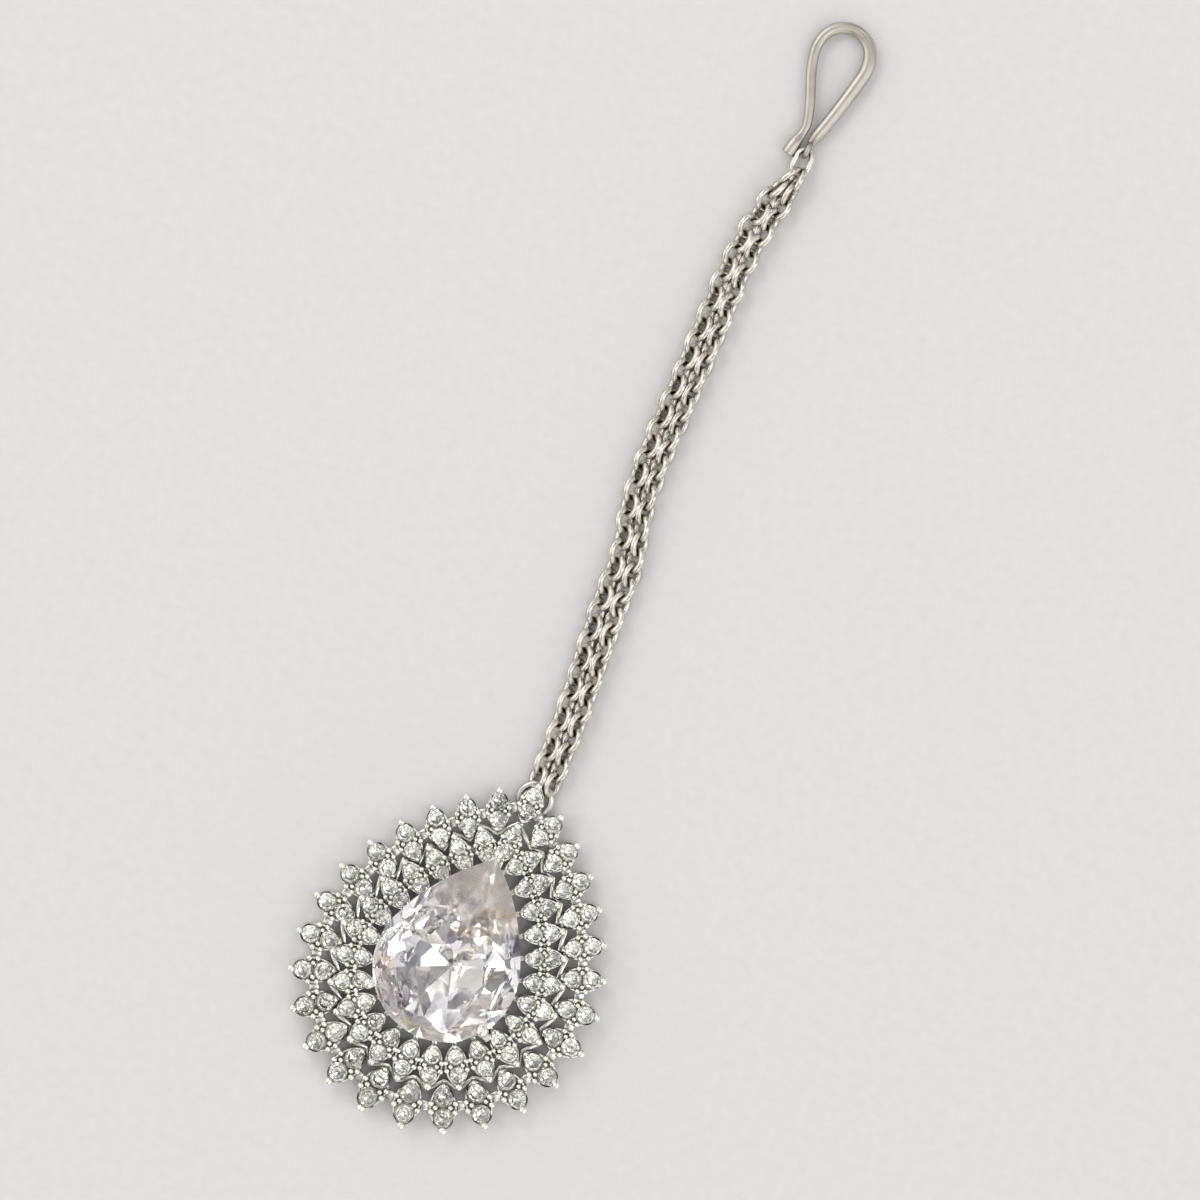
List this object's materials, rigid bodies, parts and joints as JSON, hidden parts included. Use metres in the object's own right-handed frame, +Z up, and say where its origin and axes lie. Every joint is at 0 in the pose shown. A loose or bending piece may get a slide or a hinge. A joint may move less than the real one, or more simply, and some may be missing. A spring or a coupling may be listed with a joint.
{
  "type": "maang tikka",
  "caption": "Forehead jewel: a large pear-cut clear stone in two radiating rows of pavé leaf cups, on a double cable chain with a teardrop wire hair hook. Lies flat.",
  "frame": {"origin": "on the pendant's axis, level with the middle of the pear stone's round end, on the plane that the jewel lies on", "axes": "+Y along the pendant's axis towards its tip, the chain and the hook; +Z up out of the pendant's front"},
  "size_m": [0.0319, 0.1234, 0.0072],
  "materials": {
    "silver_plate": "pale silver plate over cast brass, bright with a soft sheen",
    "clear_stone": "polished, facet-cut colourless cubic zirconia"
  },
  "bodies": {
    "root": {"pendant_frame": "silver_plate", "centre_stone": "clear_stone", "jump_ring": "silver_plate", "chain_strand_left": "silver_plate", "chain_strand_right": "silver_plate", "end_ring": "silver_plate", "hook": "silver_plate"}
  },
  "joints": []
}
